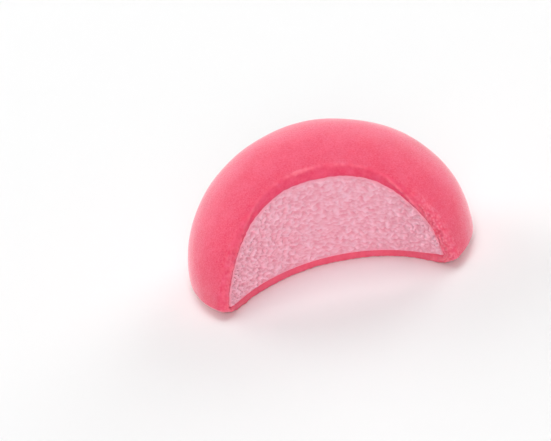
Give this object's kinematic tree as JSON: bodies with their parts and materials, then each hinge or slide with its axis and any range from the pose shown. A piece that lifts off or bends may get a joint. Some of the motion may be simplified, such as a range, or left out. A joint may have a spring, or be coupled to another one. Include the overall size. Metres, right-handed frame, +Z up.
{
  "type": "mochi rice cake",
  "caption": "Bitten mochi rice cake: a soft pink dough skin round a pale pink filling, with a deep round bite that leaves a crescent.",
  "frame": {"origin": "under the middle of the round that the cake was before it was bitten, on the flat foot", "axes": "+Z up, +X to the right across the bite, and the bite opens towards -Y"},
  "size_m": [0.0502, 0.0347, 0.0229],
  "materials": {
    "dough": "soft pink rice dough with a faint dusting, matt and a little translucent",
    "filling": "pale pink filling with a fine pitted, crumbly bite face, matt"
  },
  "bodies": {
    "root": {"dough": "dough", "filling": "filling"}
  },
  "joints": []
}
